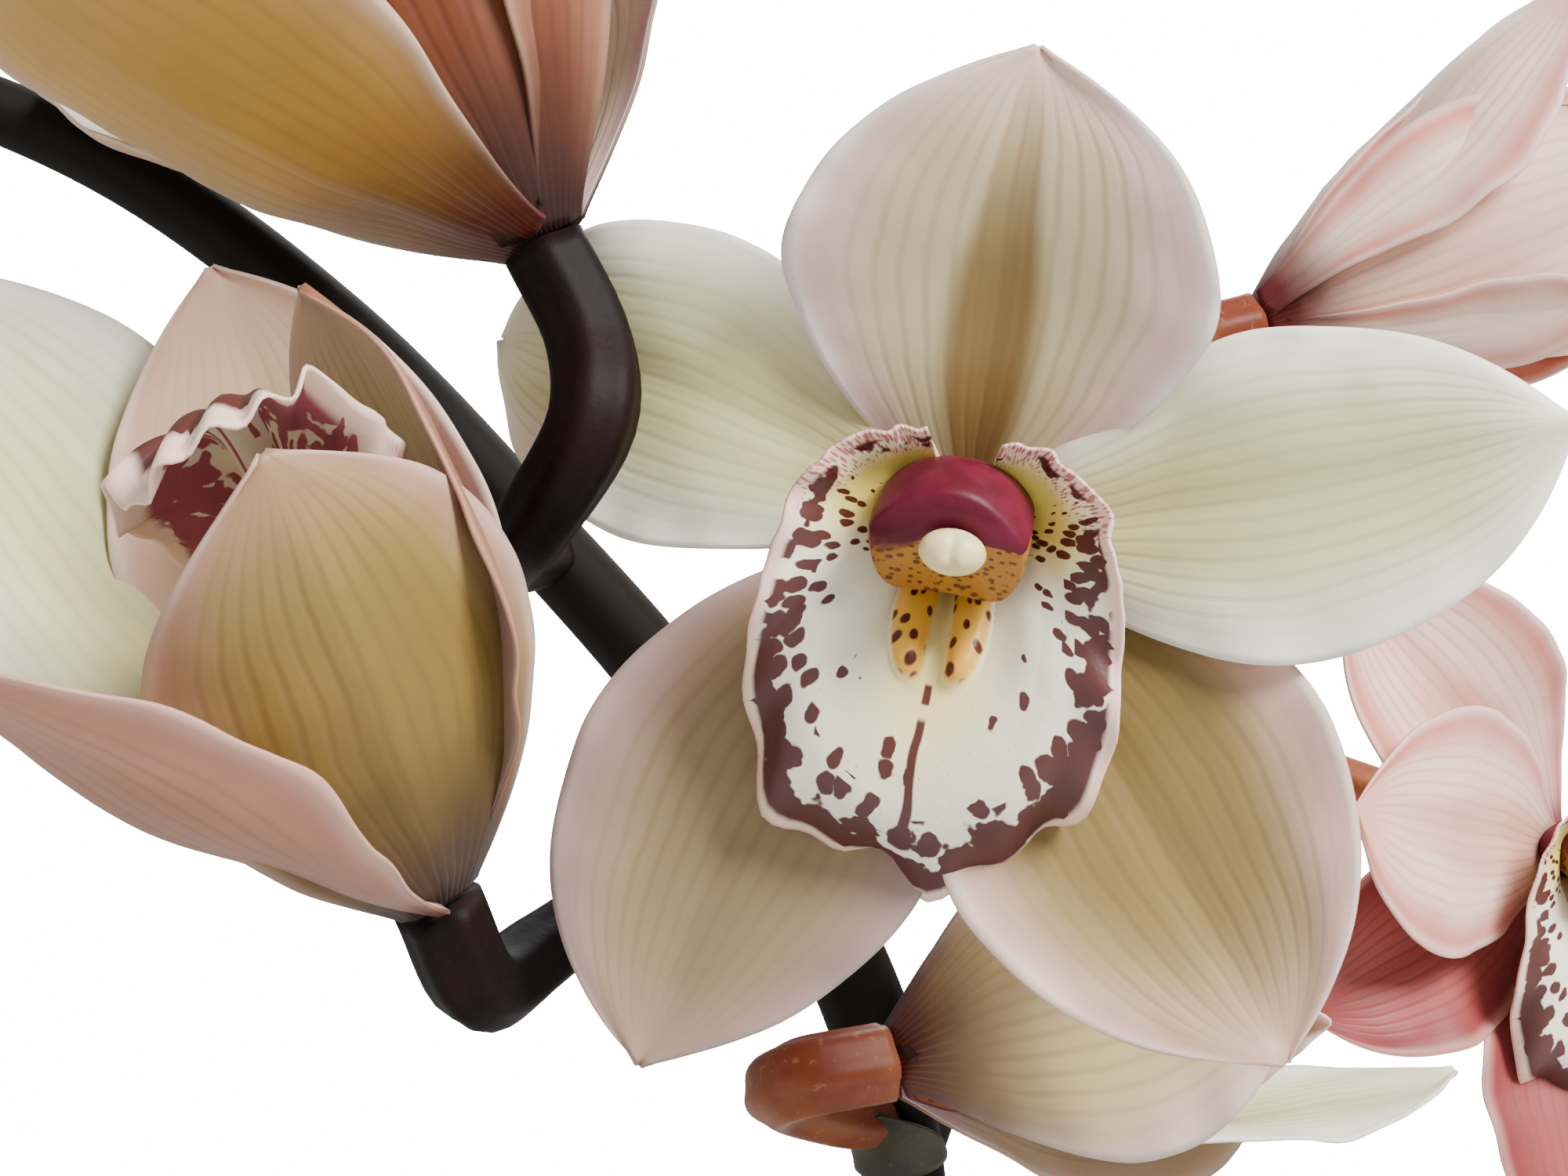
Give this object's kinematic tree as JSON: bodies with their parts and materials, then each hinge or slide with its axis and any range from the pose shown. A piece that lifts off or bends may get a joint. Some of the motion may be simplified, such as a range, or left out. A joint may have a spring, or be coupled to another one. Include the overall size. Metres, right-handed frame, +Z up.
{
  "type": "potted cymbidium orchid",
  "caption": "Cymbidium orchid in a plain terracotta pot, with strap leaves, pseudobulbs and two arching spikes of blotched-lip flowers.",
  "frame": {"origin": "middle of the pot's flat underside", "axes": "+Z up, -Y towards the open main flower's face, +X to the viewer's right"},
  "size_m": [0.6916, 0.6471, 0.7403],
  "materials": {
    "terracotta": "matte",
    "bark": "matte",
    "pseudobulb": "satin",
    "leaf": "satin",
    "stem": "satin",
    "cane": "satin",
    "raffia": "matte",
    "column": "satin",
    "anther_cap": "satin",
    "lip": "satin",
    "pedicel": "satin",
    "petal": "satin",
    "sepal": "satin",
    "far_flower": "satin"
  },
  "bodies": {
    "root": {"pot": "terracotta", "potting_bark": "bark", "pseudobulb_1": "pseudobulb", "pseudobulb_2": "pseudobulb", "pseudobulb_3": "pseudobulb", "pseudobulb_4": "pseudobulb", "leaf_01": "leaf", "leaf_02": "leaf", "leaf_03": "leaf", "leaf_04": "leaf", "leaf_05": "leaf", "leaf_06": "leaf", "leaf_07": "leaf", "leaf_08": "leaf", "leaf_09": "leaf", "leaf_10": "leaf", "leaf_11": "leaf", "leaf_12": "leaf", "spike_stem": "stem", "far_spike_stem": "stem", "support_cane": "cane", "cane_tie": "raffia", "main_flower_column": "column", "main_flower_anther_cap": "anther_cap", "main_flower_lip": "lip", "main_flower_pedicel": "pedicel", "main_flower_left_petal": "petal", "main_flower_right_petal": "petal", "main_flower_dorsal_sepal": "sepal", "main_flower_left_sepal": "sepal", "main_flower_right_sepal": "sepal", "left_flower_column": "column", "left_flower_anther_cap": "anther_cap", "left_flower_lip": "lip", "left_flower_pedicel": "pedicel", "left_flower_left_petal": "petal", "left_flower_right_petal": "petal", "left_flower_dorsal_sepal": "sepal", "left_flower_left_sepal": "sepal", "left_flower_right_sepal": "sepal", "upper_flower_column": "column", "upper_flower_anther_cap": "anther_cap", "upper_flower_lip": "lip", "upper_flower_pedicel": "pedicel", "upper_flower_left_petal": "petal", "upper_flower_right_petal": "petal", "upper_flower_dorsal_sepal": "sepal", "upper_flower_left_sepal": "sepal", "upper_flower_right_sepal": "sepal", "lower_flower_column": "column", "lower_flower_anther_cap": "anther_cap", "lower_flower_lip": "lip", "lower_flower_pedicel": "pedicel", "lower_flower_left_petal": "petal", "lower_flower_right_petal": "petal", "lower_flower_dorsal_sepal": "sepal", "lower_flower_left_sepal": "sepal", "lower_flower_right_sepal": "sepal", "far_upper_flower": "far_flower", "far_lower_flower": "far_flower"}
  },
  "joints": []
}
